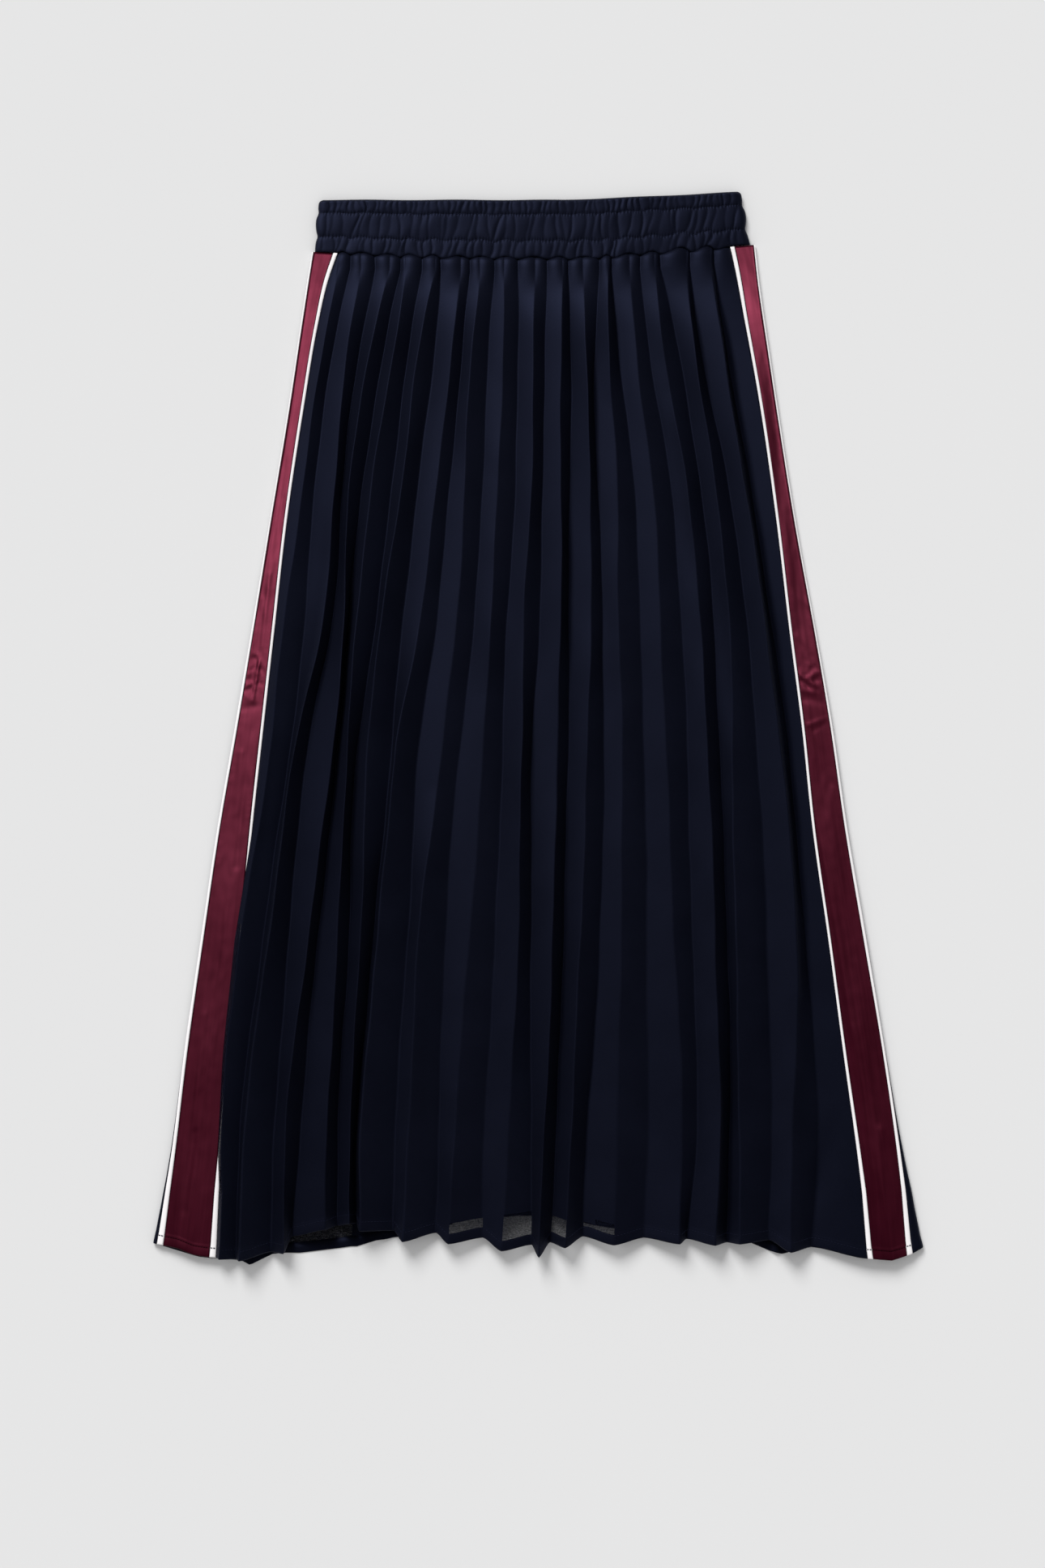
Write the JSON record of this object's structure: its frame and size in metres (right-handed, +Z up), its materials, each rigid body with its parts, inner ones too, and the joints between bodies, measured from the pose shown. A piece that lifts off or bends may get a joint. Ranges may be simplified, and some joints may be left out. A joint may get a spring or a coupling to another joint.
{
  "type": "pleated maxi skirt",
  "caption": "Long accordion-pleated A-line skirt laid flat, with a gathered elastic waistband and a satin stripe edged in piping down each side.",
  "frame": {"origin": "on the surface that the skirt lies on, under the middle of its bounding box", "axes": "+X across the skirt to its right-hand side as seen from above, +Y from the hem towards the waistband, +Z up from the surface"},
  "size_m": [0.6458, 0.899, 0.0189],
  "materials": {
    "navy_crepe": "matte",
    "burgundy_satin": "satin",
    "white_piping": "satin"
  },
  "bodies": {
    "root": {"waistband_front": "navy_crepe", "waistband_back": "navy_crepe", "front_panel": "navy_crepe", "back_panel": "navy_crepe", "stripe_left": "burgundy_satin", "stripe_right": "burgundy_satin", "piping_left_front": "white_piping", "piping_left_back": "white_piping", "piping_right_front": "white_piping", "piping_right_back": "white_piping"}
  },
  "joints": []
}
